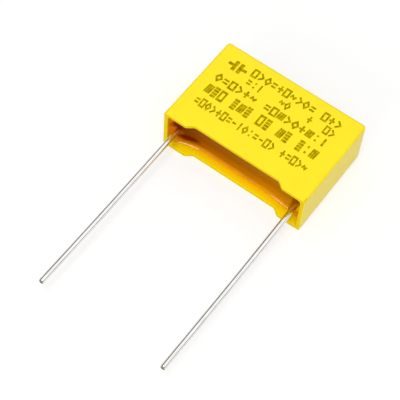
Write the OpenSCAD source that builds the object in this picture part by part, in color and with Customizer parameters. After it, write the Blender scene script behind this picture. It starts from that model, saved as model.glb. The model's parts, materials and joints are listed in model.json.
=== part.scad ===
// Box film capacitor: a moulded case, open at its mouth, cast full of resin round a flat film winding.
// It lies on its plain large face. +X runs along the lead pitch, the leads leave towards -Y, the closed
// end is at +Y and the marked large face is up. The origin is midway between the two leads, on their
// axes, in the seating plane that the feet share. Depths count from that plane into the case.

/* [Case] */
// Length of the case, along the lead pitch
case_length = 18; // [12:0.1:26]
// Height of the case, from the feet to the closed end
case_height = 11.8; // [9:0.1:20]
// Thickness of the case, across its two large faces
case_thickness = 6.1; // [5:0.1:11]
// Thickness of the walls at the mouth
wall = 0.5; // [0.3:0.05:0.8]
// Thickness of the closed end
closed_end_wall = 0.8; // [0.4:0.05:1.5]
// How far each cavity wall leans in between the mouth and the closed end
cavity_draft = 0.1; // [0.05:0.01:0.15]
// Radius of the cavity's four upright corners
cavity_corner_radius = 0.4; // [0.3:0.05:0.8]
// Radius of the outer edges, apart from the rim
edge_radius = 0.4; // [0.1:0.05:0.8]

/* [Feet] */
// Height of the feet: how far the long walls are cut back between them
foot_height = 0.6; // [0.3:0.05:0.7]
// Length of a foot along the rim, from the end of the case
foot_length = 2.85; // [1.5:0.05:4]
// Run of the slope from a foot down to the cut-back rim
foot_slope = 0.8; // [0.2:0.05:1.5]

/* [Leads] */
// Distance from an end of the case to the axis of its lead: 1.5 gives the 15 mm pitch
lead_inset = 1.5; // [1.2:0.05:3]
// Diameter of the lead wire
lead_diameter = 0.6; // [0.4:0.05:0.8]
// Length of a lead from the seating plane to its cut end
lead_length = 22.2; // [3:0.1:35]
// Bevel left round the cut end by the shears
lead_end_bevel = 0.08; // [0.02:0.01:0.15]
// Thickness of the pressed tab that is welded to the end contact
tab_thickness = 0.4; // [0.25:0.05:0.5]
// Width of the pressed tab
tab_width = 0.8; // [0.7:0.05:1.2]
// Depth of the tab's inner end
tab_depth = 9; // [5:0.1:9.5]
// Length over which the round wire changes to the flat tab
tab_taper = 0.5; // [0.2:0.05:1]
// How far the pressing faces stand off the wire where the tab starts
tab_shoulder = 0.03; // [0.02:0.01:0.08]

/* [Winding] */
// Depth of the winding's near edge
winding_depth = 2.8; // [2.4:0.05:4]
// Clearance between the winding and the cavity, filled by resin
winding_clearance = 0.3; // [0.1:0.05:0.6]
// Thickness of the metal sprayed on each end of the winding
end_contact = 0.4; // [0.2:0.05:0.6]

/* [Casting resin] */
// Depth of the line where the resin's surface meets the long walls
resin_edge_depth = 1.4; // [0.75:0.05:1.65]
// Depth to which the surface has climbed at the short walls, next to the leads
resin_end_depth = 0.7; // [0.5:0.05:1.2]
// Depth of the surface at the middle of the mouth
resin_middle_depth = 1.8; // [1.75:0.05:2.2]
// Radius of the arcs by which the surface climbs to the long walls
resin_arc_radius = 2.4; // [1.5:0.1:4]
// Length over which it climbs to a short wall
resin_end_run = 4.2; // [2:0.1:5]
// Depth at which the resin runs out on a lead
wick_depth = 0.05; // [0.02:0.01:0.4]
// Width of the resin round the tab where it runs out
wick_collar = 0.06; // [0.03:0.01:0.15]
// Angle at which the fillet round a lead meets the middle of the surface
wick_foot_angle = 35; // [25:5:60]

/* [Hidden] */
$fn = 96;

// Overrun that lets a cutting shape pass clear of the surface that it cuts
overrun = 1;

// Cavity: half sizes at the mouth, depth of its floor, lean of its walls
cavity_half_x = case_length / 2 - wall;
cavity_half_z = case_thickness / 2 - wall;
cavity_floor = case_height - closed_end_wall;
lean = cavity_draft / cavity_floor;

// Feet: inner end of a foot on the rim, and of its slope on the cut-back rim
foot_end = case_length / 2 - foot_length;
slope_end = foot_end - foot_slope;

// Leads and tabs: each end contact ends where the tab of its lead lies on it
lead_x = case_length / 2 - lead_inset;
lead_radius = lead_diameter / 2;
tab_start_half = lead_radius + tab_shoulder;
contact_face_x = lead_x - tab_thickness / 2;

// Winding: a flat roll, as thick as the cavity's floor leaves room for. Its section stays longer than
// it is thick, by at least the length of its flat sides
least_flat = 0.2;
winding_half_x = contact_face_x - end_contact;
winding_far_depth = cavity_floor - winding_clearance;
winding_half_z = min(cavity_half_z - cavity_draft - winding_clearance,
                     (winding_far_depth - winding_depth - least_flat) / 2);

// Resin surface: least half width of its level middle, and the fillets round the leads
least_level_half = 0.1;
wick_start_radius = tab_width / 2 + wick_collar;
wick_radius = (resin_middle_depth - wick_depth) / cos(wick_foot_angle);

// Colours
case_colour = [0.97, 0.86, 0.10];
resin_colour = [0.72, 0.40, 0.05];
wire_colour = [0.80, 0.80, 0.80];
contact_colour = [0.55, 0.56, 0.58];
film_colour = [0.78, 0.79, 0.82];

// ---- Shapes that several pieces share ----

// A rectangle centred on the origin with four round corners
module round_rectangle(width, height, radius) {
    square([width - 2 * radius, height], center = true);
    square([width, height - 2 * radius], center = true);
    for (sx = [-1, 1], sy = [-1, 1])
        translate([sx * (width / 2 - radius), sy * (height / 2 - radius)]) circle(radius);
}

// Sweeps a section drawn in X and Z along Y, from one depth to another
module along_depth(from, to) {
    translate([0, to, 0]) rotate([90, 0, 0]) linear_extrude(to - from) children();
}

// Sweeps a side view drawn in X and Y through the thickness
module through_thickness(span) {
    translate([0, 0, -span / 2]) linear_extrude(span) children();
}

// Sweeps a side view drawn in Z and Y along the length
module through_length(span) {
    rotate([0, 90, 0]) mirror([1, 0, 0]) translate([0, 0, -span / 2]) linear_extrude(span) children();
}

// ---- Case ----

// Side view of a case face: square corners at the rim, round ones at the closed end
module face_outline(width) {
    intersection() {
        translate([-width / 2, 0]) square([width, case_height]);
        translate([0, -overrun])
            translate([0, (case_height + overrun) / 2])
                round_rectangle(width, case_height + overrun, edge_radius);
    }
}

module case_outside() {
    intersection() {
        along_depth(0, case_height) round_rectangle(case_length, case_thickness, edge_radius);
        through_thickness(case_thickness) face_outline(case_length);
        through_length(case_length) face_outline(case_thickness);
    }
}

// Side view of the cavity, wider at the mouth than at its floor
module drafted_outline(half_width) {
    outer = half_width + lean * overrun;
    inner = half_width - cavity_draft;
    polygon([[-outer, -overrun], [outer, -overrun], [inner, cavity_floor], [-inner, cavity_floor]]);
}

module cavity() {
    intersection() {
        through_thickness(case_thickness) drafted_outline(cavity_half_x);
        through_length(case_length) drafted_outline(cavity_half_z);
        along_depth(-overrun, cavity_floor)
            round_rectangle(2 * cavity_half_x, 2 * cavity_half_z, cavity_corner_radius);
    }
}

// What is cut out of both long walls between the feet
module standoff_cut() {
    through_thickness(case_thickness + 2 * overrun)
        polygon([[-foot_end, -overrun], [foot_end, -overrun], [foot_end, 0],
                 [slope_end, foot_height], [-slope_end, foot_height], [-foot_end, 0]]);
}

module case() {
    color(case_colour)
        difference() {
            case_outside();
            cavity();
            standoff_cut();
        }
}

// ---- Leads ----

// The round wire outside the resin, with the bevel of its cut end
module lead_wire() {
    rotate([90, 0, 0]) translate([0, 0, -wick_depth]) {
        cylinder(h = lead_length + wick_depth - lead_end_bevel, r = lead_radius);
        translate([0, 0, lead_length + wick_depth - lead_end_bevel])
            cylinder(h = lead_end_bevel, r1 = lead_radius, r2 = lead_radius - lead_end_bevel);
    }
}

// The inner end of the wire, pressed flat: its edges stay round, and it grows wider as it thins
module lead_tab() {
    intersection() {
        translate([0, wick_depth, 0]) rotate([-90, 0, 0]) {
            cylinder(h = tab_taper, r1 = lead_radius, r2 = tab_width / 2);
            translate([0, 0, tab_taper])
                cylinder(h = tab_depth - wick_depth - tab_taper, r = tab_width / 2);
        }
        through_thickness(2 * tab_width)
            polygon([[-tab_start_half, wick_depth], [tab_start_half, wick_depth],
                     [tab_thickness / 2, wick_depth + tab_taper], [tab_thickness / 2, tab_depth],
                     [-tab_thickness / 2, tab_depth], [-tab_thickness / 2, wick_depth + tab_taper]]);
    }
}

module lead(side) {
    color(wire_colour)
        translate([side * lead_x, 0, 0]) {
            lead_wire();
            lead_tab();
        }
}

module lead_left() { lead(-1); }
module lead_right() { lead(1); }

// ---- Winding and its end contacts ----

// Section of the flat roll, seen along the length: two straight sides joined by half circles
module roll_section() {
    near = winding_depth + winding_half_z;
    far = winding_far_depth - winding_half_z;
    translate([-winding_half_z, near]) square([2 * winding_half_z, far - near]);
    for (depth = [near, far]) translate([0, depth]) circle(winding_half_z);
}

// A length of the roll from one X to another
module roll(from, to) {
    translate([(from + to) / 2, 0, 0]) through_length(to - from) roll_section();
}

module film_winding() {
    color(film_colour) roll(-winding_half_x, winding_half_x);
}

module end_contact_left() {
    color(contact_colour) roll(-contact_face_x, -winding_half_x);
}

module end_contact_right() {
    color(contact_colour) roll(winding_half_x, contact_face_x);
}

// ---- Casting resin ----

// The air over the resin, seen through the thickness: a level middle, and a slope to each short wall
module air_along_mouth() {
    slope = (resin_middle_depth - resin_end_depth) / resin_end_run;
    level_half = cavity_half_x - resin_end_run;
    reach = cavity_half_x + overrun;
    reach_depth = resin_end_depth - slope * overrun;
    polygon([[-reach, reach_depth], [-level_half, resin_middle_depth],
             [level_half, resin_middle_depth], [reach, reach_depth],
             [reach, -overrun], [-reach, -overrun]]);
}

// The air seen along the length: a level middle, and an arc up to each long wall
module air_across_mouth() {
    sag = resin_middle_depth - resin_edge_depth;
    climb = sqrt(sag * (2 * resin_arc_radius - sag));
    level_half = max(cavity_half_z - climb, least_level_half);
    translate([-cavity_half_z - overrun, -overrun])
        square([2 * (cavity_half_z + overrun), overrun + resin_edge_depth]);
    translate([-level_half, 0]) square([2 * level_half, resin_middle_depth]);
    for (side = [-1, 1])
        translate([side * level_half, resin_middle_depth - resin_arc_radius])
            circle(resin_arc_radius);
}

// All that lies deeper than the resin's free surface
module below_surface() {
    difference() {
        along_depth(0, case_height) square([case_length, case_thickness], center = true);
        intersection() {
            through_thickness(case_thickness + 2 * overrun) air_along_mouth();
            through_length(case_length + 2 * overrun) air_across_mouth();
        }
    }
}

// The resin drawn up round a lead: a hollow fillet that runs out on the free surface
module wick() {
    rotate([-90, 0, 0]) translate([0, 0, wick_depth])
        rotate_extrude()
            difference() {
                square([wick_start_radius + wick_radius, wick_radius + overrun]);
                translate([wick_start_radius + wick_radius, 0]) circle(wick_radius);
            }
}

module potting_resin() {
    color(resin_colour)
        difference() {
            intersection() {
                cavity();
                union() {
                    below_surface();
                    for (side = [-1, 1]) translate([side * lead_x, 0, 0]) wick();
                }
            }
            roll(-contact_face_x, contact_face_x);
            for (side = [-1, 1]) translate([side * lead_x, 0, 0]) lead_tab();
        }
}

case();
potting_resin();
film_winding();
end_contact_left();
end_contact_right();
lead_left();
lead_right();
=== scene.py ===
"""Box film capacitor, dressed: moulded case, cast resin, tinned leads, print and sealed winding.

Lengths are in metres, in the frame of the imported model: +X runs along the lead pitch, the leads
leave towards -Y, the closed end is at +Y and the marked face is up. Depths count along +Y from the
seating plane, where the feet end. Sizes are written in millimetres and multiplied by MM.
"""

import json
import logging
import math
from dataclasses import dataclass
from enum import Enum
from typing import Any, Callable, ClassVar, Sequence

import bmesh
import bpy
import numpy as np
from mathutils import Matrix, Vector

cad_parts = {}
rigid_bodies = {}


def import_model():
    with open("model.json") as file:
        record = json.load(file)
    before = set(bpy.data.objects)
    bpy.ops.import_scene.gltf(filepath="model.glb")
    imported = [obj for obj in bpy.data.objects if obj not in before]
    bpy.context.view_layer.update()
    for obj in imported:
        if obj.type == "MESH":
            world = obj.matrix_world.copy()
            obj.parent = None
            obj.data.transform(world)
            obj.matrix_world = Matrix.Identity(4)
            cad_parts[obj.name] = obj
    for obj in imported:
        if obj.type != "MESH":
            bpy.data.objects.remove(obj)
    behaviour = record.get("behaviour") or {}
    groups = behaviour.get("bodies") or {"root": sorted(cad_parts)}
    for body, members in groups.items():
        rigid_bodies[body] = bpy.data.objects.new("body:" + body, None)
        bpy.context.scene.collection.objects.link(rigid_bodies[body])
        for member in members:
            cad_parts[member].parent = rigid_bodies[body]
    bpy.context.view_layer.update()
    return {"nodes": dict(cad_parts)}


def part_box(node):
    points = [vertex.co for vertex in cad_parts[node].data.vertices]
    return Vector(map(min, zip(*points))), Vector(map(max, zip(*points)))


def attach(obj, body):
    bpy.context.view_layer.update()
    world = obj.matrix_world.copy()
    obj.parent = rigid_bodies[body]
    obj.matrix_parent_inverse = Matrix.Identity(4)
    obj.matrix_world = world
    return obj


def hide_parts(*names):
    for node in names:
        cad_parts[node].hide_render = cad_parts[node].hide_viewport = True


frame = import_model()

MM = 0.001
MERGE = 0.0001 * MM
SHARP_ANGLE = math.radians(60)
log = logging.getLogger("film_capacitor")

Socket = bpy.types.NodeSocket
Tree = bpy.types.NodeTree
Material = bpy.types.Material
Mesh = bpy.types.Mesh
Piece = bpy.types.Object
Inputs = dict[Any, Any]
Colour = Way = tuple[float, float, float]
Stops = tuple[tuple[float, Colour], ...]
Span = tuple[float, float]
Ring = tuple[np.ndarray, np.ndarray | float]
WHITE: Colour = (1.0, 1.0, 1.0)


class Side(Enum):
    """The two leads, by the side of the middle on which each stands."""

    LEFT = -1
    RIGHT = 1


# ---- Node trees ----


def operation(name: str, turned: bool = False) -> Callable[..., "Value"]:
    """Makes an operator that stands for a Math node.

    Args:
        name: the node's operation.
        turned: True where the value is the node's last input.

    Returns:
        The operator.
    """
    def apply(value: "Value", *others: Any) -> "Value":
        """Adds the node."""
        return value.bench.math(name, *((*others, value) if turned else (value, *others)))

    return apply


class Value:
    """A value in a node tree. Arithmetic adds Math nodes, so that a rule reads like a formula."""

    def __init__(self, bench: "NodeBench", socket: Socket) -> None:
        """Holds an output of a node on the bench."""
        self.bench, self.socket = bench, socket

    __add__ = __radd__ = operation("ADD")
    __mul__ = __rmul__ = operation("MULTIPLY")
    __sub__, __rsub__ = operation("SUBTRACT"), operation("SUBTRACT", turned=True)
    __truediv__, __pow__ = operation("DIVIDE"), operation("POWER")
    __gt__, __lt__ = operation("GREATER_THAN"), operation("LESS_THAN")
    __abs__, exp, root, sine = map(operation, ("ABSOLUTE", "EXPONENT", "SQRT", "SINE"))
    min, max = operation("MINIMUM"), operation("MAXIMUM")

    def held(self) -> "Value":
        """Holds the value between 0 and 1."""
        self.socket.node.use_clamp = True
        return self

    def between(self, low: Any, high: Any) -> "Value":
        """Gives low where the value is 0 and high where it is 1."""
        return self * (high - low) + low

    def fade(self, low: float, high: float) -> "Value":
        """Gives a smooth step, 0 at low and 1 at high."""
        return self.bench.add("ShaderNodeMapRange", {"Value": self, "From Min": low, "From Max": high},
                              interpolation_type="SMOOTHSTEP")


class NodeBench:
    """Adds nodes to one tree and wires them."""

    def __init__(self, tree: Tree) -> None:
        """Works on a geometry, shader or world tree."""
        self.tree = tree

    def fill(self, target: Socket, value: Any) -> None:
        """Wires a value to an input, or sets a plain number, vector or colour on it.

        Args:
            target: the input.
            value: what it gets.
        """
        if isinstance(value, Value):
            self.tree.links.new(value.socket, target)
        elif target.type == "RGBA":
            target.default_value = (*value, 1.0)
        else:
            target.default_value = value

    def node(self, kind: str, inputs: Inputs | None = None, **settings: Any) -> bpy.types.Node:
        """Adds one node.

        Args:
            kind: Blender's name of the node's type.
            inputs: what each input gets, by name or number.
            settings: the node's own settings.

        Returns:
            The new node.
        """
        node = self.tree.nodes.new(kind)
        for name, value in settings.items():
            setattr(node, name, value)
        for key, value in (inputs or {}).items():
            self.fill(node.inputs[key], value)
        return node

    def add(self, kind: str, inputs: Inputs | None = None, output: Any = 0, **settings: Any) -> Value:
        """Adds one node and gives one of its outputs, by name or number."""
        return Value(self, self.node(kind, inputs, **settings).outputs[output])

    def outputs(self, kind: str, inputs: Inputs | None = None, **settings: Any) -> dict[str, Value]:
        """Adds one node and gives all of its outputs by name."""
        node = self.node(kind, inputs, **settings)
        return {socket.name: Value(self, socket) for socket in node.outputs}

    def split(self, place: Value) -> tuple[Value, ...]:
        """Gives a place's X, Y and Z."""
        return tuple(self.outputs("ShaderNodeSeparateXYZ", {0: place}).values())

    def point(self, *parts: Any) -> Value:
        """Makes a place from its X, Y and Z."""
        return self.add("ShaderNodeCombineXYZ", dict(enumerate(parts)))

    def math(self, name: str, *values: Any) -> Value:
        """Adds a Math node with these inputs."""
        return self.add("ShaderNodeMath", dict(enumerate(values)), operation=name)

    def mix(self, share: Any, first: Any, second: Any, blend: str = "MIX") -> Value:
        """Mixes two colours by the share of the second."""
        return self.add("ShaderNodeMix", {0: share, 6: first, 7: second}, 2, data_type="RGBA",
                        blend_type=blend)

    def ramp(self, value: Value, stops: Stops) -> Value:
        """Adds a colour ramp.

        Args:
            value: the number to follow, from 0 to 1.
            stops: the place and colour of each stop.

        Returns:
            The colour.
        """
        node = self.node("ShaderNodeValToRGB", {0: value})
        band = node.color_ramp.elements
        while len(band) < len(stops):
            band.new(0.5)
        for element, (place, colour) in zip(band, stops):
            element.position = place
            element.color = (*colour, 1.0)
        return Value(self, node.outputs[0])


class NamedTree:
    """A new tree with named inputs and outputs, and a bench on it."""

    def __init__(self, kind: str, name: str, inputs: dict[str, str], outputs: dict[str, str]) -> None:
        """Starts the tree.

        Args:
            kind: Shader or Geometry.
            name: the tree's name.
            inputs: the type of each input, by name.
            outputs: the type of each output, by name.
        """
        self.tree = bpy.data.node_groups.new(name, f"{kind}NodeTree")
        for way, sockets in (("INPUT", inputs), ("OUTPUT", outputs)):
            for label, sort in sockets.items():
                self.tree.interface.new_socket(label, in_out=way, socket_type=f"NodeSocket{sort}")
        self.bench = NodeBench(self.tree)
        self.given = self.bench.outputs("NodeGroupInput")
        self.out = self.bench.node("NodeGroupOutput").inputs


def mottle_group() -> Tree:
    """Makes the group for uneven colour and fine grain, which every finish here uses.

    Returns:
        A group that turns a place into a Mask from 0 to 1 and a Height from 0 to 1.
    """
    numbers = dict.fromkeys(("Patch Scale", "Contrast", "Grain Scale"), "Float")
    group = NamedTree("Shader", "mottle", {"Place": "Vector", **numbers},
                      {"Mask": "Float", "Height": "Float"})
    bench, given = group.bench, group.given
    patch, grain = (bench.add("ShaderNodeTexNoise", {"Vector": given["Place"], "Scale": given[scale],
                                                     "Detail": detail, "Roughness": roughness})
                    for scale, detail, roughness in (("Patch Scale", 3.0, 0.55), ("Grain Scale", 2.0, 0.6)))
    bench.fill(group.out["Mask"], ((patch - 0.5) * given["Contrast"] * 4.0 + 0.5).held())
    bench.fill(group.out["Height"], grain)
    return group.tree


def streak_group() -> Tree:
    """Makes the group for fine lines that run one way, as on drawn wire and wound film.

    Returns:
        A group that turns a place into a Mask from 0 to 1 and a Height from 0 to 1.
    """
    group = NamedTree("Shader", "streaks", {"Place": "Vector", "Stretch": "Vector", "Scale": "Float"},
                      {"Mask": "Float", "Height": "Float"})
    bench, given = group.bench, group.given
    drawn = bench.add("ShaderNodeVectorMath", {0: given["Place"], 1: given["Stretch"]}, operation="MULTIPLY")
    line = bench.add("ShaderNodeTexNoise", {"Vector": drawn, "Scale": given["Scale"], "Detail": 4.0,
                                            "Roughness": 0.7})
    bench.fill(group.out["Mask"], line.fade(0.40, 0.62))
    bench.fill(group.out["Height"], line)
    return group.tree


@dataclass(frozen=True)
class Effects:
    """The shader groups that several finishes share."""

    mottle: Tree
    streaks: Tree


# ---- Finishes ----


class Dressing:
    """A new material with a bench on its tree, its shader's inputs and its place on the object."""

    def __init__(self, name: str, **fixed: float) -> None:
        """Starts a material.

        Args:
            name: the material's name.
            fixed: values set on the shader's own sockets, with _ for a space.
        """
        self.material = bpy.data.materials.new(name)
        self.material.use_nodes = True
        self.bench = NodeBench(self.material.node_tree)
        self.shader = self.material.node_tree.nodes["Principled BSDF"].inputs
        self.feed(**fixed)
        self.place = self.bench.add("ShaderNodeTexCoord", output="Object")
        self.x, self.y, self.z = self.bench.split(self.place)

    def feed(self, **sources: Any) -> None:
        """Wires or sets the shader's inputs, with _ for a space."""
        for name, source in sources.items():
            self.bench.fill(self.shader[name.replace("_", " ")], source)

    def effect(self, group: Tree, **values: Any) -> dict[str, Value]:
        """Places a shared group and gives its outputs. Its inputs are named with _ for a space."""
        inputs = {name.replace("_", " "): value for name, value in values.items()}
        return self.bench.outputs("ShaderNodeGroup", {"Place": self.place, **inputs}, node_tree=group)

    def end(self, finish: Any, colour: Value, share: Value, height: Value) -> Material:
        """Ends the material.

        Args:
            finish: the finish, with the ends of its roughness and the rise and strength of its relief.
            colour: the colour.
            share: where the roughness lies between its ends, from 0 to 1.
            height: the relief, from 0 to 1.

        Returns:
            The material.
        """
        rise, strength = finish.relief
        relief = self.bench.add("ShaderNodeBump", {"Height": height, "Distance": rise, "Strength": strength})
        self.feed(Base_Color=colour, Roughness=share.between(*finish.roughness), Normal=relief)
        return self.material


@dataclass(frozen=True)
class MouldedPolyester:
    """Yellow moulded polyester with a satin face, matt at the rim; the rim faces carry painted shade, and
    inside the mouth the walls turn orange, partly from a thin resin film and partly as painted bounce light,
    with painted shade on the short walls.
    """

    effects: Effects
    cavity: "Cavity"
    colour: Colour = (0.970, 0.780, 0.003)
    deep: Colour = (0.945, 0.740, 0.002)
    # Painted shade: the rim faces darker and more olive than the face
    rim: Colour = (0.810, 0.610, 0.011)
    # Inside the mouth, yellow near the rim and orange deeper: partly a thin resin film, partly painted
    # bounce light from the resin
    lining: Colour = (0.930, 0.740, 0.002)
    inside: Colour = (1.0, 0.52, 0.001)
    # The short walls' insides: partly a resin film on them, partly painted shade
    corner: Colour = (0.58, 0.16, 0.0)
    rim_reach: float = 0.44 * MM
    rim_depth: float = 0.64 * MM
    skin: float = 0.02 * MM
    corner_skin: float = 0.12 * MM
    coat: Span = (0.85, 0.05)
    lining_fade: Span = (0.5 * MM, 1.75 * MM)
    corner_fade: Span = (-0.25 * MM, 0.85 * MM)
    roughness: Span = (0.30, 0.40)
    relief: Span = (0.003 * MM, 0.5)

    def build(self) -> Material:
        """Makes the material.

        Returns:
            The material.
        """
        dress = Dressing("moulded_polyester", Specular_IOR_Level=0.0, Coat_IOR=1.45, Coat_Roughness=0.32)
        mix = dress.bench.mix
        grain = dress.effect(self.effects.mottle, Patch_Scale=320.0, Contrast=0.5, Grain_Scale=7000.0)
        wide, high = abs(dress.x), abs(dress.z)

        def within(margin: float, depth: float) -> Value:
            """Gives 1 up to a margin past the cavity's walls and down to a depth."""
            beside = (wide < self.cavity.half_x + margin) * (high < self.cavity.half_z + margin)
            return beside * (dress.y < depth)

        inner = within(self.skin, self.cavity.floor)
        not_outer = within(self.rim_reach, self.rim_depth).max(inner)
        face = mix(grain["Mask"], self.colour, self.deep)
        # Orange deeper down the inner walls: partly resin film, partly painted bounce light
        lined = mix(dress.y.fade(*self.lining_fade), self.lining, self.inside)
        # The rim faces take the darker rim colour, painted shade
        tone = mix(inner, mix(not_outer, face, self.rim), lined)
        # Painted shade on the short walls' insides below the rim, over the resin film they carry
        film_and_shade = inner * (wide > self.cavity.half_x - self.corner_skin) * dress.y.fade(*self.corner_fade)
        dress.feed(Coat_Weight=not_outer.between(*self.coat))
        return dress.end(self, mix(film_and_shade, tone, self.corner), grain["Mask"], grain["Height"])


@dataclass(frozen=True)
class ShadePatch:
    """A soft patch of painted shade in the resin, dark red: its place off a lead, its half sizes and its
    strength.
    """

    side: Side
    x: float
    z: float
    half_x: float
    half_z: float
    strength: float


@dataclass(frozen=True)
class CastResin:
    """Amber casting resin: clear and golden where it is thin at the walls, dark where it is deep, with
    painted shade along it and beside the leads and painted light in the corner behind the right lead.
    """

    effects: Effects
    cavity: "Cavity"
    lead_x: float
    thin: Colour = (0.85, 0.385, 0.0)
    middle: Colour = (0.66, 0.285, 0.0)
    deep: Colour = (0.505, 0.213, 0.0)
    # Dark red of the painted shade beside the leads
    red: Colour = (0.15, 0.006, 0.0)
    # Painted light: the brighter orange of the corner behind the right lead
    glow: Colour = (1.0, 0.55, 0.004)
    # Painted shade on the deep part, from the left end to the right: darkest just inside the left lead,
    # least towards the right end
    shades: Stops = ((0.035, (0.97, 0.57, 0.4)), (0.09, (0.37, 0.19, 0.1)), (0.27, (0.66, 0.435, 0.3)),
                     (0.50, (0.70, 0.56, 0.4)), (0.74, (0.88, 0.73, 0.6)), (0.92, (0.92, 0.92, 0.8)))
    # Patches of painted shade beside the left lead and in the upper corners by both leads
    stains: tuple[ShadePatch, ...] = (
        ShadePatch(Side.LEFT, 0.9 * MM, -1.45 * MM, 1.3 * MM, 0.46 * MM, 0.93),
        ShadePatch(Side.LEFT, -0.15 * MM, 0.65 * MM, 0.75 * MM, 0.65 * MM, 0.93),
        ShadePatch(Side.RIGHT, 0.15 * MM, 0.7 * MM, 0.8 * MM, 0.6 * MM, 0.558))
    coat: Span = (0.06, 1.0)
    drift: float = 0.15 * MM
    stain_edge: Span = (0.15, 1.6)
    deep_fade: Span = (0.0, 0.7 * MM)
    # How far off the walls the painted light in the clear right corner and the wet film along the long walls
    # lie
    glow_ends: Span = (1.45 * MM, 0.95 * MM)
    glow_fade: Span = (0.3 * MM, 0.8 * MM)
    glow_rise: Span = (0.1 * MM, -0.5 * MM)
    wet_fade: Span = (0.32 * MM, 0.1 * MM)
    wet_ends: Span = (1.25 * MM, 1.5 * MM)
    roughness: Span = (0.30, 0.40)
    relief: Span = (0.004 * MM, 0.4)

    def _stained(self, dress: Dressing) -> Value:
        """Gives how strongly the painted shade darkens the resin.

        Args:
            dress: the material in the making.

        Returns:
            A mask of all the patches of painted shade.
        """
        masks = []
        for shade_patch in self.stains:
            across = (dress.x - (shade_patch.side.value * self.lead_x + shade_patch.x)) / shade_patch.half_x
            up = (dress.z - shade_patch.z) / shade_patch.half_z
            masks.append((1.0 - (across ** 2.0 + up ** 2.0).fade(*self.stain_edge)) * shade_patch.strength)
        return masks[0].max(masks[1]).max(masks[2])

    def build(self) -> Material:
        """Makes the material.

        Returns:
            The material.
        """
        dress = Dressing("cast_resin", IOR=1.55, Specular_IOR_Level=0.0, Coat_IOR=1.6, Coat_Roughness=0.05)
        bench, half_x, half_z = dress.bench, self.cavity.half_x, self.cavity.half_z
        cloud = dress.effect(self.effects.mottle, Patch_Scale=700.0, Contrast=0.6, Grain_Scale=2500.0)
        across, along = half_z - abs(dress.z), half_x - abs(dress.x)
        off_wall = across.min(along) + cloud["Mask"].between(-self.drift, self.drift)
        tone = bench.ramp((off_wall / half_z).held(), ((0.0, self.thin), (0.14, self.middle),
                                                       (0.36, self.middle), (0.62, self.deep)))
        # Painted shade along the length, laid on the deep part away from the long walls
        shade = bench.ramp((dress.x * (0.5 / half_x) + 0.5).held(), self.shades)
        tone = bench.mix(across.fade(*self.deep_fade), tone, bench.mix(1.0, tone, shade, "MULTIPLY"))
        # Painted light: a brighter orange in the clear corner behind the right lead, standing in for light
        # that comes through the resin
        clear = dress.x.fade(*(half_x - end for end in self.glow_ends))
        clear = clear * across.fade(*self.glow_fade) * dress.z.fade(*self.glow_rise)
        tone = bench.mix(clear, tone, self.glow)
        wet = across.fade(*self.wet_fade) * dress.x.fade(*(half_x - end for end in self.wet_ends))
        dress.feed(Coat_Weight=wet.between(*self.coat))
        # Painted shade: dark red patches beside the leads
        tone = bench.mix(self._stained(dress), tone, self.red)
        return dress.end(self, tone, cloud["Mask"], cloud["Height"])


@dataclass(frozen=True)
class TinnedWire:
    """Bright tinned wire, with faint lines along it from drawing, a duller cut end, and a painted dark
    reflection along the edges that turn away from view.
    """

    effects: Effects
    tip: float
    bright: Colour = (0.97, 0.965, 0.945)
    dull: Colour = (0.80, 0.79, 0.74)
    # Painted reflection: the dark colour at the wire's turned-away edges
    edge: Colour = (0.075, 0.070, 0.045)
    cut: Colour = (0.14, 0.135, 0.12)
    edge_fade: Span = (0.45, 0.88)
    cut_fade: Span = (0.036 * MM, 0.12 * MM)
    roughness: Span = (0.14, 0.30)
    relief: Span = (0.002 * MM, 0.35)

    def build(self) -> Material:
        """Makes the material.

        Returns:
            The material.
        """
        dress = Dressing("tinned_wire", Metallic=1.0)
        mix = dress.bench.mix
        lines = dress.effect(self.effects.streaks, Stretch=(1.0, 0.03, 1.0), Scale=9000.0)
        patch = dress.effect(self.effects.mottle, Patch_Scale=900.0, Contrast=0.7, Grain_Scale=14000.0)
        share = lines["Mask"] * patch["Mask"]
        facing = dress.bench.add("ShaderNodeLayerWeight", {"Blend": 0.5}, "Facing")
        # Painted reflection: darker towards the edges that turn away from view
        tone = mix(facing.fade(*self.edge_fade), mix(share, self.bright, self.dull), self.edge)
        sound = (dress.y - self.tip).fade(*self.cut_fade)
        return dress.end(self, mix(sound, self.cut, tone), share, lines["Height"])


@dataclass(frozen=True)
class MarkingInk:
    """Thin olive ink that lets the yellow through in patches."""

    effects: Effects
    full: Colour = (0.280, 0.210, 0.0)
    weak: Colour = (0.520, 0.400, 0.0)
    roughness: Span = (0.55, 0.40)
    relief: Span = (0.002 * MM, 0.5)

    def build(self) -> Material:
        """Makes the material.

        Returns:
            The material.
        """
        dress = Dressing("marking_ink", Specular_IOR_Level=0.0)
        patch = dress.effect(self.effects.mottle, Patch_Scale=2600.0, Contrast=1.0, Grain_Scale=12000.0)
        tone = dress.bench.mix(patch["Mask"], self.full, self.weak)
        return dress.end(self, tone, patch["Mask"], patch["Height"])


@dataclass(frozen=True)
class MetallisedFilm:
    """Silvery wound film, with the fine lines of its layers."""

    effects: Effects
    bright: Colour = (0.80, 0.81, 0.84)
    shade: Colour = (0.56, 0.57, 0.62)
    roughness: Span = (0.18, 0.34)
    relief: Span = (0.004 * MM, 0.4)

    def build(self) -> Material:
        """Makes the material.

        Returns:
            The material.
        """
        dress = Dressing("metallised_film", Metallic=0.85)
        layers = dress.effect(self.effects.streaks, Stretch=(0.02, 1.0, 1.0), Scale=6000.0)
        patch = dress.effect(self.effects.mottle, Patch_Scale=300.0, Contrast=0.5, Grain_Scale=9000.0)
        share = layers["Mask"] * patch["Mask"].between(0.5, 1.0)
        return dress.end(self, dress.bench.mix(share, self.bright, self.shade), share, layers["Height"])


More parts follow.
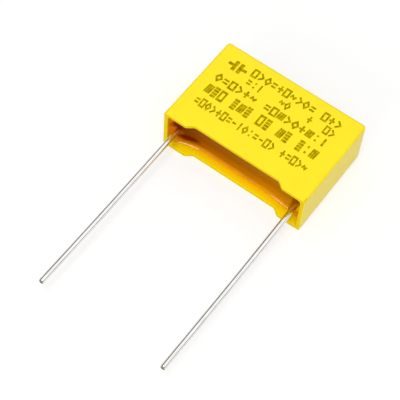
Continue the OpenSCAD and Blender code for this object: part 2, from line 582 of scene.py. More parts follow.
@dataclass(frozen=True)
class SprayedMetal:
    """Rough grey metal, sprayed in drops on each end of the winding."""

    effects: Effects
    light: Colour = (0.50, 0.51, 0.53)
    dark: Colour = (0.26, 0.27, 0.28)
    roughness: Span = (0.45, 0.75)
    relief: Span = (0.02 * MM, 0.7)

    def build(self) -> Material:
        """Makes the material.

        Returns:
            The material.
        """
        dress = Dressing("sprayed_metal", Metallic=0.9)
        drops = dress.bench.add("ShaderNodeTexVoronoi", {"Vector": dress.place, "Scale": 7000.0}, "Distance",
                                feature="SMOOTH_F1")
        patch = dress.effect(self.effects.mottle, Patch_Scale=1500.0, Contrast=0.8, Grain_Scale=12000.0)
        hollow = drops.fade(0.25, 0.75)
        share = hollow * 0.6 + patch["Mask"] * 0.4
        return dress.end(self, dress.bench.mix(share, self.light, self.dark), share, 1.0 - hollow)


# ---- Mesh tools ----


def make_piece(name: str, mesh: Mesh, material: Material | None = None) -> Piece:
    """Puts a mesh on show.

    Args:
        name: the piece's name.
        mesh: its mesh, with its place in its points.
        material: its finish, if the mesh gets none from a tree.

    Returns:
        The piece.
    """
    piece = bpy.data.objects.new(name, mesh)
    bpy.context.scene.collection.objects.link(piece)
    if material is not None:
        mesh.materials.append(material)
    return piece


def clean_mesh(mesh: Mesh) -> Mesh:
    """Merges a mesh's seams, turns its faces outwards and shades it smooth between sharp edges.

    Args:
        mesh: the mesh, whose shells are closed.

    Returns:
        The same mesh.
    """
    shape = bmesh.new()
    shape.from_mesh(mesh)
    bmesh.ops.remove_doubles(shape, verts=shape.verts, dist=MERGE)
    bmesh.ops.recalc_face_normals(shape, faces=shape.faces)
    shape.to_mesh(mesh)
    shape.free()
    mesh.polygons.foreach_set("use_smooth", [True] * len(mesh.polygons))
    mesh.set_sharp_from_angle(angle=SHARP_ANGLE)
    mesh.update()
    return mesh


def close_mesh(name: str, points: Sequence[Any], faces: Sequence[Sequence[int]]) -> Mesh:
    """Makes a clean closed mesh from points and the numbers of each face's points."""
    mesh = bpy.data.meshes.new(name)
    mesh.from_pydata([tuple(p) for p in points], [], [tuple(f) for f in faces])
    return clean_mesh(mesh)


class ShapeTree(NamedTree):
    """A geometry tree that ends in plain meshes with their finish."""

    def __init__(self, name: str, inputs: dict[str, str]) -> None:
        """Starts the tree, with these inputs beside the geometry and the finish."""
        shared = {"Geometry": "Geometry", "Material": "Material"}
        super().__init__("Geometry", name, {**shared, **inputs}, {"Geometry": "Geometry"})

    def end(self, shape: Value) -> None:
        """Ends the tree with the geometry so far, made real and given its finish."""
        real = self.bench.add("GeometryNodeRealizeInstances", {0: shape})
        self.bench.fill(self.out[0], self.bench.add("GeometryNodeSetMaterial", {
            "Geometry": real, "Material": self.given["Material"]}))

    def run(self, piece: Piece, values: dict[str, Any]) -> Piece:
        """Runs the tree on a piece and keeps the result as its plain mesh.

        Args:
            piece: the object that carries the tree's input.
            values: the tree's inputs by name.

        Returns:
            The piece, with its new mesh and no modifier.
        """
        modifier = piece.modifiers.new(self.tree.name, "NODES")
        modifier.node_group = self.tree
        for item in self.tree.interface.items_tree:
            if item.in_out == "INPUT" and item.name in values:
                modifier[item.identifier] = values[item.name]
        piece.update_tag()
        graph = bpy.context.evaluated_depsgraph_get()
        graph.update()
        made = bpy.data.meshes.new_from_object(piece.evaluated_get(graph), preserve_all_data_layers=True,
                                               depsgraph=graph)
        piece.modifiers.remove(modifier)
        old, piece.data = piece.data, clean_mesh(made)
        made.name = piece.name
        bpy.data.meshes.remove(old)
        return piece


def labelled(sizes: dict[str, Any]) -> dict[str, float]:
    """Gives the numbers among a sub-assembly's sizes, named as a tree's inputs are."""
    return {name.replace("_", " ").title(): size for name, size in sizes.items() if isinstance(size, float)}


@dataclass(frozen=True)
class BoxSection:
    """How every cross-section of the box is sampled, so that any two of them can be joined.

    Stations are in metres. Those along the long sides keep their place up to the lock, so that the
    feet keep their slopes, and beyond it they stretch with the section.
    """

    stations_x: tuple[float, ...]
    stations_z: tuple[float, ...]
    lock: float
    corner_steps: int = 8

    def _spread(self, half_x: float, half_z: float) -> list[np.ndarray]:
        """Fits the stations to the straight sides of a section.

        Args:
            half_x: half the straight part of its long sides.
            half_z: half the straight part of its short sides.

        Returns:
            The fitted stations along X and along Z.
        """
        fitted = []
        for stations, reach, lock in ((self.stations_x, half_x, self.lock), (self.stations_z, half_z, 0.0)):
            at = np.array(stations)
            beyond = lock + (np.abs(at) - lock) * (reach - lock) / (at.max() - lock)
            fitted.append(np.where(np.abs(at) <= lock, at, np.sign(at) * beyond))
        return fitted

    def ring(self, half_x: float, half_z: float, radius: float) -> np.ndarray:
        """Samples one rounded rectangle.

        Args:
            half_x: half its length.
            half_z: half its thickness.
            radius: the radius of its corners.

        Returns:
            Its points in X and Z, in order.
        """
        middle_x, middle_z = half_x - radius, half_z - radius
        xs, zs = self._spread(middle_x, middle_z)
        points: list[tuple[float, float]] = []
        for side, to_x, to_z, start in (
                ([(x, half_z) for x in xs], 1, 1, 90), ([(half_x, z) for z in zs[::-1]], 1, -1, 0),
                ([(x, -half_z) for x in xs[::-1]], -1, -1, -90), ([(-half_x, z) for z in zs], -1, 1, -180)):
            turns = [math.radians(start - 90 * k / self.corner_steps) for k in range(1, self.corner_steps)]
            points += side
            points += [(to_x * middle_x + radius * math.cos(t), to_z * middle_z + radius * math.sin(t))
                       for t in turns]
        return np.array(points)

    def grid(self, half_x: float, half_z: float) -> tuple[np.ndarray, list[list[int]]]:
        """Covers a rectangle.

        Args:
            half_x: half its length.
            half_z: half its thickness.

        Returns:
            Its points in X and Z, and its faces.
        """
        xs, zs = self._spread(half_x, half_z)
        deep = len(zs)
        faces = [[i * deep + j, (i + 1) * deep + j, (i + 1) * deep + j + 1, i * deep + j + 1]
                 for i in range(len(xs) - 1) for j in range(deep - 1)]
        return np.array([(x, z) for x in xs for z in zs]), faces


class ShellBuilder:
    """Collects the points and faces of a closed shell."""

    def __init__(self) -> None:
        """Starts with nothing."""
        self.points: list[np.ndarray] = []
        self.faces: list[list[int]] = []
        self.count = 0

    def patch(self, plan: np.ndarray, depth: np.ndarray | float, faces: Sequence[list[int]] = ()) -> int:
        """Adds points at their depths, with faces between them.

        Args:
            plan: the points in X and Z.
            depth: the depth of each point, or of all of them.
            faces: faces that use the plan's own numbers.

        Returns:
            The number of the first new point.
        """
        start = self.count
        self.points.append(np.column_stack([plan[:, 0], np.broadcast_to(depth, len(plan)), plan[:, 1]]))
        self.faces += [[start + v for v in face] for face in faces]
        self.count += len(plan)
        return start

    def loft(self, rings: Sequence[Ring]) -> None:
        """Joins rings of as many points each into a band.

        Args:
            rings: the plan and depth of each ring, in order.
        """
        starts = [self.patch(plan, depth) for plan, depth in rings]
        size = len(rings[0][0])
        for low, high in zip(starts, starts[1:]):
            self.faces += [[low + k, low + (k + 1) % size, high + (k + 1) % size, high + k]
                           for k in range(size)]

    def mesh(self, name: str) -> Mesh:
        """Makes the closed mesh."""
        return close_mesh(name, np.vstack(self.points), self.faces)


def graded(spans: Sequence[Span], end: float) -> tuple[float, ...]:
    """Places stations on both sides of the middle, closer together where a shape needs it.

    Args:
        spans: where each span starts, from the middle outwards, and its greatest step.
        end: where the last span ends.

    Returns:
        The stations, from the lowest to the highest.
    """
    side: list[float] = []
    for (start, step), (stop, _) in zip(spans, [*spans[1:], (end, 0.0)]):
        steps = max(1, math.ceil((stop - start) / step - 1e-6))
        side += [start + (stop - start) * k / steps for k in range(steps)]
    side.append(end)
    return tuple([-s for s in reversed(side) if s > 0] + side)


# ---- Pieces ----


@dataclass(frozen=True)
class Cavity:
    """The drafted space inside the case."""

    half_x: float
    half_z: float
    floor: float
    draft: float = 0.1 * MM
    corner: float = 0.4 * MM

    def halves(self, depth: float) -> tuple[float, float]:
        """Gives the cavity's half sizes at a depth."""
        lean = self.draft * depth / self.floor
        return self.half_x - lean, self.half_z - lean


@dataclass
class CaseShell:
    """The moulded case: four walls with feet at the mouth, and the closed end."""

    low: Vector
    high: Vector
    wall: float = 0.5 * MM
    end_wall: float = 0.8 * MM
    edge_radius: float = 0.4 * MM
    foot_height: float = 0.6 * MM
    foot_length: float = 2.85 * MM
    foot_slope: float = 0.8 * MM
    rim_fillet: float = 0.06 * MM
    rim_land: float = 0.02 * MM
    slope_blend: float = 0.12 * MM
    slope_reach: float = 0.16 * MM
    fine: float = 0.03 * MM
    slope_step: float = 0.02 * MM
    edge_land: float = 0.04 * MM
    steps_x: Way = (1.2 * MM, 0.12 * MM, 0.5 * MM)
    step_z: float = 0.6 * MM
    bands: Span = (1.6 * MM, 6 * MM)
    fillet_steps: int = 5
    edge_steps: int = 8

    def __post_init__(self) -> None:
        """Works out the half sizes, where a foot ends on the rim, and the space inside."""
        self.half_x, self.half_z = (self.high.x - self.low.x) / 2, (self.high.z - self.low.z) / 2
        self.foot_end = self.half_x - self.foot_length
        self.cavity = Cavity(self.half_x - self.wall, self.half_z - self.wall, self.high.y - self.end_wall)

    def section(self) -> BoxSection:
        """Gives the sampling that all of the case's rings share.

        Returns:
            The sampling, finest at the slopes of the feet and at the edges.
        """
        reach, slope_end = self.slope_reach, self.foot_end - self.foot_slope
        straight_x, straight_z = self.half_x - self.edge_radius, self.half_z - self.edge_radius
        middle, slope, foot = self.steps_x
        spans_x = [(0.0, middle), (slope_end - reach, self.slope_step), (slope_end + reach, slope),
                   (self.foot_end - reach, self.slope_step), (self.foot_end + reach, foot),
                   (straight_x - self.fine, self.fine)]
        spans_z = [(0.0, self.step_z), (straight_z - self.fine, self.fine)]
        return BoxSection(graded(spans_x, straight_x), graded(spans_z, straight_z), self.foot_end + reach)

    def rim_depth(self, x: np.ndarray) -> np.ndarray:
        """Gives the depth of the rim: nothing on the feet, the full cut-back between them.

        Args:
            x: places along the case.

        Returns:
            The depth at each place, eased at both ends of the slope.
        """
        def area(t: np.ndarray) -> np.ndarray:
            """Gives the area under a unit slope from its start to t."""
            return np.where(t < 0, 0.0, np.where(t > 1, t - 0.5, t * t / 2))

        t = (self.foot_end - np.abs(x)) / self.foot_slope
        ease = self.slope_blend / self.foot_slope
        return self.foot_height * (area(t + ease) - area(t - ease)) / (2 * ease)

    def _rim(self, section: BoxSection) -> list[Ring]:
        """Makes the rings of the rim.

        Args:
            section: the shared sampling.

        Returns:
            Rings from just inside the cavity, over both fillets, to the outside.
        """
        fillet, inner = self.rim_fillet, self.cavity
        turns = [math.radians(90 * k / self.fillet_steps) for k in range(self.fillet_steps + 1)]
        steps = [(0.0, fillet + self.rim_land),
                 *((fillet * (1 - math.cos(t)), fillet * (1 - math.sin(t))) for t in turns),
                 (fillet + self.rim_land, 0.0)]
        plans = [(section.ring(inner.half_x + out, inner.half_z + out, inner.corner + out), below)
                 for out, below in steps]
        plans += [(section.ring(self.half_x - out, self.half_z - out, self.edge_radius - out), below)
                  for out, below in reversed(steps)]
        return [(plan, self.rim_depth(plan[:, 0]) + below) for plan, below in plans]

    def build(self, material: Material) -> Piece:
        """Builds and dresses the case.

        Args:
            material: its finish.

        Returns:
            The piece.
        """
        shell, section, inner, radius = ShellBuilder(), self.section(), self.cavity, self.edge_radius
        floor_x, floor_z = (half - inner.corner for half in inner.halves(inner.floor))
        rings: list[Ring] = [(section.ring(floor_x, floor_z, 0.0), inner.floor)]
        rings += [(section.ring(*inner.halves(depth), inner.corner), depth)
                  for depth in (inner.floor, *reversed(self.bands))]
        rings += self._rim(section)
        straight_end = self.high.y - radius
        rings += [(section.ring(self.half_x, self.half_z, radius), depth)
                  for depth in (*self.bands, straight_end - self.edge_land)]
        for t in (math.radians(90 * k / self.edge_steps) for k in range(self.edge_steps + 1)):
            inset = radius * (1 - math.cos(t))
            rings.append((section.ring(self.half_x - inset, self.half_z - inset, radius - inset),
                          straight_end + radius * math.sin(t)))
        shell.loft(rings)
        for half_x, half_z, depth in ((floor_x, floor_z, inner.floor),
                                      (self.half_x - radius, self.half_z - radius, self.high.y)):
            plan, faces = section.grid(half_x, half_z)
            shell.patch(plan, depth, faces)
        return make_piece("case_shell", shell.mesh("case_shell"), material)


@dataclass
class ResinCasting:
    """The cast resin, whose surface curls up at the walls and round the leads."""

    cavity: Cavity
    lead_x: float
    lead_radius: float
    edge_depth: float = 1.42 * MM
    middle_depth: float = 1.77 * MM
    end_left: float = 0.3 * MM
    end_right: float = 0.96 * MM
    run_left: float = 4.6 * MM
    run_right: float = 4.2 * MM
    curl: float = 0.35 * MM
    curl_reach: float = 0.25 * MM
    wick_curl: float = 0.14 * MM
    wick_left: float = 0.8 * MM
    wick_right: float = 0.3 * MM
    wick_core: float = -0.3
    corner_steps: int = 16
    steps_x: Span = (0.25 * MM, 0.04 * MM)
    spans_z: tuple[Span, ...] = ((0.0, 0.04 * MM), (0.9 * MM, 0.08 * MM), (1.6 * MM, 0.06 * MM))
    press_in: ClassVar[float] = 0.004 * MM
    fine_reach: ClassVar[float] = 1.2 * MM

    def __post_init__(self) -> None:
        """Works out the half sizes of the surface, which is pressed a little into the walls."""
        self.half_length, self.half_thickness = (half + self.press_in
                                                 for half in self.cavity.halves(self.edge_depth))

    def section(self) -> BoxSection:
        """Gives the sampling of the surface.

        Returns:
            The sampling, finest round the leads and along the walls.
        """
        corner, (coarse, fine) = self.cavity.corner, self.steps_x
        spans_x = [(0.0, coarse), (self.lead_x - self.fine_reach, fine)]
        return BoxSection(graded(spans_x, self.cavity.half_x - corner),
                          graded(self.spans_z, self.cavity.half_z - corner), self.lead_x)

    def tree(self) -> ShapeTree:
        """Makes the geometry tree that gives each point of the surface its depth.

        Returns:
            The tree, with every size as a named input.
        """
        shaper = ShapeTree("resin_surface", dict.fromkeys(labelled(vars(self)), "Float"))
        bench, given = shaper.bench, shaper.given
        x, y, z = bench.split(bench.add("GeometryNodeInputPosition"))

        def curl_up(at: Value, half: Value) -> Value:
            """Gives how far a wetting surface has climbed at a place beside a wall."""
            return given["Curl"] * ((abs(at) - half) / given["Curl Reach"]).exp()

        # Towards each short wall the whole surface climbs, on the left in a bow and on the right straight,
        # and at every wall it curls up
        on_right = x > 0.0
        run, end = (on_right.between(given[f"{size} Left"], given[f"{size} Right"])
                    for size in ("Run", "End"))
        climb = ((abs(x) - (given["Half Length"] - run)) / run).held()
        rise = (given["Edge Depth"] - end) * climb ** (2.0 - on_right)
        curled = curl_up(x, given["Half Length"]).max(curl_up(z, given["Half Thickness"]))
        depth = given["Middle Depth"] - rise - curled
        for side in Side:
            aside = x - given["Lead X"] * side.value
            off = (aside ** 2.0 + z ** 2.0).root() - given["Lead Radius"]
            off = off.max(given["Wick Curl"] * given["Wick Core"])
            fall = (off / given["Wick Curl"] * -1.0).exp()
            depth = depth - (depth - given[f"Wick {side.name.title()}"]) * fall
        free = bench.add("GeometryNodeInputNamedAttribute", {"Name": "free_surface"}, data_type="FLOAT")
        shaper.end(bench.add("GeometryNodeSetPosition", {
            "Geometry": given["Geometry"], "Selection": free > 0.5, "Position": bench.point(x, depth, z)}))
        return shaper

    def _block(self) -> Mesh:
        """Makes the block before its surface is shaped.

        Returns:
            A closed mesh whose free surface is level and marked by an attribute.
        """
        shell, section, cavity = ShellBuilder(), self.section(), self.cavity
        long, thick, corner = self.half_length, self.half_thickness, cavity.corner
        insets = [corner * (1 - k / self.corner_steps) for k in range(self.corner_steps + 1)]
        shell.loft([*((section.ring(long - i, thick - i, corner - i), self.edge_depth) for i in insets),
                    (section.ring(*cavity.halves(cavity.floor), corner), cavity.floor)])
        per_ring = shell.count // (len(insets) + 1)
        shell.faces.append(list(range(shell.count - per_ring, shell.count)))
        plan, faces = section.grid(long - corner, thick - corner)
        shell.patch(plan, self.edge_depth, faces)
        mesh = shell.mesh("resin_casting")
        flags = mesh.attributes.new("free_surface", "FLOAT", "POINT")
        depth = np.array([v.co.y for v in mesh.vertices])
        flags.data.foreach_set("value", (depth < self.edge_depth + MERGE).astype(np.float32))
        return mesh

    def build(self, material: Material) -> Piece:
        """Builds and dresses the resin."""
        return self.tree().run(make_piece("resin_casting", self._block()),
                               {"Material": material, **labelled(vars(self))})


@dataclass
class Lead:
    """One tinned lead: round outside the resin, pressed flat where it is welded inside."""

    side: Side
    low: Vector
    high: Vector
    root_shift: float
    tip_shift: float
    radius: float = 0.3 * MM
    bevel: float = 0.08 * MM
    shear: float = 0.12
    tab_start: float = 1.0 * MM
    tab_taper: float = 0.6 * MM
    tab_thickness: float = 0.4 * MM
    tab_width: float = 0.8 * MM
    bow: float = 0.05 * MM
    sides: int = 40
    cut_steps: int = 4
    run_sections: int = 48
    press_sections: int = 16
    run_end: ClassVar[float] = -0.2 * MM

    def __post_init__(self) -> None:
        """Works out where the lead is cut and where its axis stands."""
        self.tip, self.axis = self.low.y, (self.low.x + self.high.x) / 2

    def stations(self) -> list[float]:
        """Places the wire's sections, close together at the cut end and at the tab.

        Returns:
            Their places along Y.
        """
        taper_end = self.tab_start + self.tab_taper
        cut = [self.tip + self.bevel * k / self.cut_steps for k in range(self.cut_steps + 1)]
        run = np.linspace(self.tip + 2 * self.bevel, self.run_end, self.run_sections)
        press = np.linspace(0.0, taper_end, self.press_sections)
        return [*cut, *run, *press, (taper_end + self.high.y) / 2, self.high.y]

    def tree(self) -> ShapeTree:
        """Makes the geometry tree that turns a line into a lead.

        Returns:
            The tree, with every size as a named input.
        """
        drawer = ShapeTree("drawn_lead", dict.fromkeys(labelled(vars(self)), "Float"))
        bench, given = drawer.bench, drawer.given
        x, y, z = bench.split(bench.add("GeometryNodeInputPosition"))
        radius, nearness = given["Radius"], y - given["Tip"]
        scale = ((radius - given["Bevel"] + nearness) / radius).min(1.0)
        line = bench.add("GeometryNodeMeshToCurve", {0: given["Geometry"]})
        profile = bench.add("GeometryNodeCurvePrimitiveCircle", {"Resolution": self.sides, "Radius": radius},
                            mode="RADIUS")
        wire = bench.add("GeometryNodeCurveToMesh", {"Curve": line, "Profile Curve": profile, "Scale": scale,
                                                     "Fill Caps": True})
        # Pressed tab: thinner across, wider up and down
        eased = ((y - given["Tab Start"]) / given["Tab Taper"]).held().fade(0.0, 1.0)
        flat_x, flat_z = (at * ((size / (radius * 2.0) - 1.0) * eased + 1.0) for at, size in (
            (x - given["Axis"], given["Tab Thickness"]), (z, given["Tab Width"])))
        # The lean from root to tip, and a slight bow
        along = (y / given["Tip"]).held()
        lean = along.between(given["Root Shift"], given["Tip Shift"]) * (1.0 - eased)
        arch = given["Bow"] * (along * math.pi).sine()
        # The sheared end slants back across its face
        at_tip = 1.0 - (nearness / radius).held()
        slant = (z + radius) * given["Shear"] * at_tip
        spot = bench.point(given["Axis"] + flat_x + (lean + arch), y + slant, flat_z)
        drawer.end(bench.add("GeometryNodeSetPosition", {"Geometry": wire, "Position": spot}))
        return drawer

    def build(self, drawer: ShapeTree, material: Material) -> Piece:
        """Builds and dresses the lead.

        Args:
            drawer: the geometry tree that both leads share.
            material: its finish.

        Returns:
            The piece.
        """
        points = [(self.axis, y, 0.0) for y in self.stations()]
        line = bpy.data.meshes.new("lead_line")
        line.from_pydata(points, [(k, k + 1) for k in range(len(points) - 1)], [])
        return drawer.run(make_piece(f"lead_wire_{self.side.name.lower()}", line),
                          {"Material": material, **labelled(vars(self))})


# ---- Print ----

STROKE = 0.205
MITRE_LIMIT = 0.4


class Mark(Enum):
    """The plain shapes of the print: the sign that stands for each in a row, and its strokes.

    A stroke is a middle line through a cell one unit high. One that ends where it starts is a loop.
    """

    FRAME = "n", [((0.1, 0.1), (0.1, 0.9), (0.62, 0.9), (0.62, 0.1), (0.1, 0.1))]
    DIAMOND = "d", [((0.08, 0.5), (0.36, 0.88), (0.64, 0.5), (0.36, 0.12), (0.08, 0.5))]
    CHEVRON = ">", [((0.14, 0.9), (0.56, 0.5), (0.14, 0.1))]
    TWIN_DASH = "=", [((0.08, up), (0.64, up)) for up in (0.32, 0.68)]
    LADDER = "#", [((0.08, 0.11 + 0.26 * k), (0.64, 0.11 + 0.26 * k)) for k in range(4)]
    DASH = "-", [((0.1, 0.5), (0.6, 0.5))]
    DOTS = ":", [((0.36, low), (0.36, low + 0.2)) for low in (0.14, 0.66)]
    CROSS = "+", [((0.06, 0.5), (0.66, 0.5)), ((0.36, 0.1), (0.36, 0.49 - STROKE / 2)),
                  ((0.36, 0.51 + STROKE / 2), (0.36, 0.9))]
    HATCH = "/", [((0.1 + 0.24 * k, 0.1), (0.2 + 0.24 * k, 0.9)) for k in range(3)]
    ZIGZAG = "~", [((0.06, 0.36), (0.22, 0.64), (0.48, 0.36), (0.64, 0.64))]
    POST = "|", [((0.36, 0.06), (0.36, 0.94))]
    PLATES = "p", [((0.0, 0.5), (0.28, 0.5)), ((0.39, 0.1), (0.39, 0.9)), ((0.71, 0.1), (0.71, 0.9)),
                   ((0.82, 0.5), (1.1, 0.5))]

    def __init__(self, sign: str, strokes: list[tuple[Span, ...]]) -> None:
        """Keeps the sign and the strokes."""
        self.sign, self.strokes = sign, strokes

    def mesh(self, thickness: float) -> Mesh:
        """Makes the mark as thin closed strokes.

        Args:
            thickness: its thickness, in cell heights.

        Returns:
            The mesh, lying in X and Y with its face up.
        """
        points: list[tuple[float, float, float]] = []
        faces: list[list[int]] = []
        for line in self.strokes:
            loop = line[0] == line[-1]
            left, right = offset_sides(np.array(line[:-1] if loop else line), loop)
            start, n = len(points), len(left)
            low = 2 * n
            points += [(*p, level) for level in (thickness, 0.0) for side in (left, right) for p in side]
            for k in range(n if loop else n - 1):
                after = (k + 1) % n
                a, b, c, d = start + k, start + after, start + n + after, start + n + k
                faces += [[a, d, c, b], [a + low, b + low, c + low, d + low],
                          [a, b, b + low, a + low], [c, d, d + low, c + low]]
            if not loop:
                faces += [[at, at + low, at + low + n, at + n] for at in (start, start + n - 1)]
        return close_mesh(f"mark_{self.name.lower()}", points, faces)


def offset_sides(way: np.ndarray, loop: bool) -> tuple[np.ndarray, np.ndarray]:
    """Offsets a line by half a stroke to both sides, mitred at its corners.

    Args:
        way: the points of the middle line.
        loop: True where its end joins its start.

    Returns:
        The left side and the right side.
    """
    runs = np.diff(np.vstack([way, way[:1]]) if loop else way, axis=0)
    runs /= np.linalg.norm(runs, axis=1)[:, None]
    before = np.roll(runs, 1, axis=0) if loop else np.vstack([runs[:1], runs])
    after = runs if loop else np.vstack([runs, runs[-1:]])
    turn = before + after
    turn /= np.linalg.norm(turn, axis=1)[:, None]
    reach = STROKE / 2 / np.maximum((turn * after).sum(axis=1), MITRE_LIMIT)
    side = np.column_stack([-turn[:, 1], turn[:, 0]]) * reach[:, None]
    return way + side, way - side


@dataclass(frozen=True)
class PrintRow:
    """One row of the print: its signs, its two ends along X, and its foot and height along Y."""

    signs: str
    start: float
    end: float
    base: float
    height: float


@dataclass
class MarkedFace:
    """The print on the marked face: rows of plain marks that say nothing, and a plate sign."""

    face: float
    rows: tuple[PrintRow, ...] = (
        PrintRow("n>d=+n~>d= n+>", -4.55 * MM, 7.0 * MM, 9.35 * MM, 1.2 * MM),
        PrintRow("=:|   ~d   +  n>", -4.4 * MM, 7.0 * MM, 8.05 * MM, 1.15 * MM),
        PrintRow("d=n>+~ =n/>d+/:|", -7.4 * MM, 7.0 * MM, 6.55 * MM, 1.2 * MM),
        PrintRow("/#n #/# n# /# #:/", -7.4 * MM, 6.9 * MM, 4.6 * MM, 1.5 * MM),
        PrintRow("=nd>+n=-|d:=-n> +=n>~", -7.4 * MM, 7.0 * MM, 2.8 * MM, 1.2 * MM),
    )
    plates_at: Span = (-7.35 * MM, 8.62 * MM)
    plates_size: Span = (2.1 * MM, 1.75 * MM)
    mark_width: float = 1.28
    cell: float = 1.2 * MM
    thickness: float = 0.012 * MM
    jitter: float = 0.012 * MM
    seed: int = 7

    def tree(self) -> ShapeTree:
        """Makes the geometry tree that sets a mark on each point.

        Returns:
            The tree, with the marks, the jitter and the seed as named inputs.
        """
        printer = ShapeTree("print_rows", {"Marks": "Collection", "Jitter": "Float", "Seed": "Int"})
        bench, given = printer.bench, printer.given
        marks = bench.add("GeometryNodeCollectionInfo", {"Collection": given["Marks"],
                                                         "Separate Children": True, "Reset Children": True})
        kind, size = (bench.add("GeometryNodeInputNamedAttribute", {"Name": name}, data_type=sort)
                      for name, sort in (("kind", "INT"), ("size", "FLOAT_VECTOR")))
        placed = bench.add("GeometryNodeInstanceOnPoints", {
            "Points": given["Geometry"], "Instance": marks, "Pick Instance": True, "Instance Index": kind,
            "Scale": size})
        low, high = (bench.point(end, end) for end in (given["Jitter"] * -1.0, given["Jitter"]))
        shake = bench.add("FunctionNodeRandomValue", {0: low, 1: high, "Seed": given["Seed"]},
                          data_type="FLOAT_VECTOR")
        printer.end(bench.add("GeometryNodeTranslateInstances", {
            "Instances": placed, "Translation": shake, "Local Space": False}))
        return printer

    def _points(self) -> Mesh:
        """Places a point for each mark.

        Returns:
            The points, with the kind and size of each mark.
        """
        number = {mark.sign: k for k, mark in enumerate(Mark)}
        places, kinds, sizes = [], [], []
        for row in self.rows:
            pitch = (row.end - row.start) / len(row.signs)
            for k, sign in enumerate(row.signs):
                if sign != " ":
                    places.append((row.start + k * pitch, row.base, self.face))
                    kinds.append(number[sign])
                    sizes += [pitch * self.mark_width, row.height, row.height]
        places.append((*self.plates_at, self.face))
        kinds.append(number[Mark.PLATES.sign])
        sizes += [*self.plates_size, self.plates_size[1]]
        mesh = bpy.data.meshes.new("print_points")
        mesh.from_pydata(places, [], [])
        mesh.attributes.new("kind", "INT", "POINT").data.foreach_set("value", kinds)
        mesh.attributes.new("size", "FLOAT_VECTOR", "POINT").data.foreach_set("vector", sizes)
        return mesh

    def build(self, material: Material) -> Piece:
        """Builds and dresses the print.

        Args:
            material: its finish.

        Returns:
            The piece.
        """
        shelf = bpy.data.collections.new("print_marks")
        for number, mark in enumerate(Mark):
            mesh = mark.mesh(self.thickness / self.cell)
            shelf.objects.link(bpy.data.objects.new(f"mark_{number:02d}", mesh))
        piece = self.tree().run(make_piece("print_marks", self._points()), {
            "Marks": shelf, "Jitter": self.jitter, "Seed": self.seed, "Material": material})
        for template in list(shelf.objects):
            bpy.data.objects.remove(template)
        bpy.data.collections.remove(shelf)
        return piece


# ---- Studio ----


@dataclass(frozen=True)
class Softbox:
    """A soft lamp, whose level is what it adds to a white surface that faces it."""

    name: str
    towards: Way
    distance: float
    width: float
    height: float
    level: float
    colour: Colour = WHITE

    def hang(self, aim: Vector) -> None:
        """Hangs the lamp so that it faces a point.

        Args:
            aim: the point.
        """
        lamp = bpy.data.lights.new(self.name, "AREA")
        lamp.shape = "RECTANGLE"
        lamp.size, lamp.size_y = self.width, self.height
        lamp.energy = self.level * math.pi ** 2 * self.distance ** 2
        lamp.color = self.colour
        holder = bpy.data.objects.new(self.name, lamp)
        way = Vector(self.towards).normalized()
        holder.location = aim + way * self.distance
        holder.rotation_euler = way.to_track_quat("Z", "Y").to_euler()
        bpy.context.scene.collection.objects.link(holder)


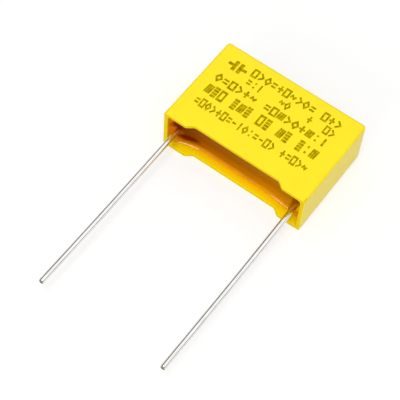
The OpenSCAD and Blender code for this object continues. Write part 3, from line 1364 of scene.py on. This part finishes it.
@dataclass
class Studio:
    """A white sweep under soft light, with the camera above the leads' right."""

    floor_z: float
    middle: Vector
    floor_size: float = 3.0
    paper: float = 0.8
    paper_seen: float = 0.42
    paper_glow: float = 0.565
    sky_top: float = 0.80
    sky_horizon: float = 0.12
    window: float = 0.44
    window_side: Way = (0.42, -0.78, 0.46)
    ceiling: float = 1.0
    ceiling_side: Way = (0.20, 0.42, 0.85)
    azimuth: float = 32.48
    elevation: float = 60.11
    roll: float = 4.49
    distance: float = 139.1 * MM
    lens: float = 116.28
    aim_shift: Way = (-1.785 * MM, -8.82 * MM, -3.915 * MM)
    lamps: tuple[Softbox, ...] = (
        Softbox("overhead_softbox", (0.09, -0.22, 1.0), 0.9, 0.26, 0.26, 0.26),
        Softbox("left_strip", (0.04, -0.885, 0.435), 0.6, 0.18, 0.14, 0.17, (1.0, 0.88, 0.66)),
        Softbox("right_strip", (-0.37, -0.84, 0.385), 0.6, 0.075, 0.14, 0.05, (1.0, 0.88, 0.66)),
    )

    def build(self) -> None:
        """Sets up the floor, the light and the camera."""
        self._floor()
        self._sky()
        for lamp in self.lamps:
            lamp.hang(self.middle)
        self._camera()
        bpy.context.scene.view_settings.view_transform = "Standard"

    @staticmethod
    def _bench(owner: Material | bpy.types.World) -> NodeBench:
        """Clears the node tree of a material or world and gives a bench on it."""
        owner.use_nodes = True
        owner.node_tree.nodes.clear()
        return NodeBench(owner.node_tree)

    def _floor(self) -> None:
        """Lays the white floor, which keeps a faint shadow.

        The camera, a gloss and a clear body see it glow. Other rays see plain matt paper.
        """
        half = self.floor_size / 2
        mesh = bpy.data.meshes.new("floor")
        corners = ((-half, -half), (half, -half), (half, half), (-half, half))
        mesh.from_pydata([(*corner, self.floor_z) for corner in corners], [], [(0, 1, 2, 3)])
        material = bpy.data.materials.new("white_paper")
        bench = self._bench(material)
        path = bench.outputs("ShaderNodeLightPath")
        seen = (path["Is Camera Ray"] + path["Is Glossy Ray"] + path["Is Transmission Ray"]).held()
        paper = bench.mix(seen, (self.paper,) * 3, (self.paper_seen,) * 3)
        matt = bench.add("ShaderNodeBsdfDiffuse", {"Color": paper})
        glow = bench.add("ShaderNodeEmission", {"Color": WHITE, "Strength": seen * self.paper_glow})
        both = bench.add("ShaderNodeAddShader", {0: matt, 1: glow})
        bench.node("ShaderNodeOutputMaterial", {"Surface": both})
        make_piece("floor", mesh, material)

    def _sky(self) -> None:
        """Surrounds the scene with plain light, darker near the horizon."""
        world = bpy.data.worlds.new("studio")
        bpy.context.scene.world = world
        bench = self._bench(world)
        way = bench.add("ShaderNodeTexCoord", output="Generated")
        height = bench.split(way)[2]

        def towards(side: Way) -> Value:
            """Gives how nearly a ray points to one side, 1 at most."""
            return bench.add("ShaderNodeVectorMath", {0: way, 1: Vector(side).normalized()}, "Value",
                             operation="DOT_PRODUCT")

        # A broad glow from one side lights the mouth without a shadow's edge
        level = height.fade(0.1, 0.75).between(self.sky_horizon, self.sky_top)
        glow = towards(self.window_side).fade(0.45, 1.0) * self.window + level
        # A gloss sees one broad white patch of the ceiling instead
        patch = towards(self.ceiling_side).fade(0.45, 0.85).between(self.sky_horizon, self.ceiling)
        path = bench.outputs("ShaderNodeLightPath")
        strength = path["Is Glossy Ray"].between(glow, patch).max(path["Is Camera Ray"])
        light = bench.add("ShaderNodeBackground", {"Color": WHITE, "Strength": strength})
        bench.node("ShaderNodeOutputWorld", {"Surface": light})

    def _camera(self) -> None:
        """Places the camera and makes it the scene's."""
        turn, lift = math.radians(self.azimuth), math.radians(self.elevation)
        back = Vector((math.cos(lift) * math.sin(turn), -math.cos(lift) * math.cos(turn), math.sin(lift)))
        camera = bpy.data.cameras.new("camera")
        camera.lens = self.lens
        camera.clip_start, camera.clip_end = 1 * MM, 20.0
        holder = bpy.data.objects.new("camera", camera)
        aim = self.middle + Vector(self.aim_shift)
        holder.matrix_world = (Matrix.Translation(aim + back * self.distance)
                               @ back.to_track_quat("Z", "Y").to_matrix().to_4x4()
                               @ Matrix.Rotation(math.radians(self.roll), 4, "Z"))
        bpy.context.scene.collection.objects.link(holder)
        bpy.context.scene.camera = holder


# ---- Assembly ----


def settle(piece: Piece, slot: str, *replaced: str) -> None:
    """Ties a piece to the model and reports it.

    Args:
        piece: the piece.
        slot: the record's finish that it stands for; not used.
        replaced: the CAD nodes that it stands for.
    """
    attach(piece, "root")
    if replaced:
        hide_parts(*replaced)
    log.info("%s: %d faces, stands for %s", piece.name, len(piece.data.polygons),
             ", ".join(replaced) or "itself")


def dress_node(name: str, material: Material) -> None:
    """Gives a CAD node that stays on show a new finish.

    Args:
        name: the node.
        material: its finish.
    """
    node = frame["nodes"][name]
    if not node.material_slots:
        node.data.materials.append(material)
    for slot in node.material_slots:
        slot.material = material
    log.info("%s keeps its shape and gets %s", name, material.name)


def main() -> None:
    """Builds the capacitor and its studio."""
    logging.basicConfig(level=logging.INFO, format="%(name)s: %(message)s")
    effects = Effects(mottle_group(), streak_group())

    case = CaseShell(*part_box("case"))
    settle(case.build(MouldedPolyester(effects, case.cavity).build()), "case", "case")

    left = Lead(Side.LEFT, *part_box("lead_left"), root_shift=-0.03 * MM, tip_shift=-0.08 * MM)
    right = Lead(Side.RIGHT, *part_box("lead_right"), root_shift=0.22 * MM, tip_shift=0.17 * MM)
    drawer, wire = left.tree(), TinnedWire(effects, left.tip).build()
    settle(left.build(drawer, wire), "wire", "lead_left")
    settle(right.build(drawer, wire), "wire", "lead_right")

    resin = ResinCasting(case.cavity, right.axis, right.radius)
    settle(resin.build(CastResin(effects, case.cavity, right.axis).build()), "resin", "potting_resin")

    settle(MarkedFace(case.high.z).build(MarkingInk(effects).build()), "case")

    dress_node("film_winding", MetallisedFilm(effects).build())
    metal = SprayedMetal(effects).build()
    for name in ("end_contact_left", "end_contact_right"):
        dress_node(name, metal)

    Studio(case.low.z, (case.low + case.high) / 2).build()


if __name__ == "__main__":
    main()
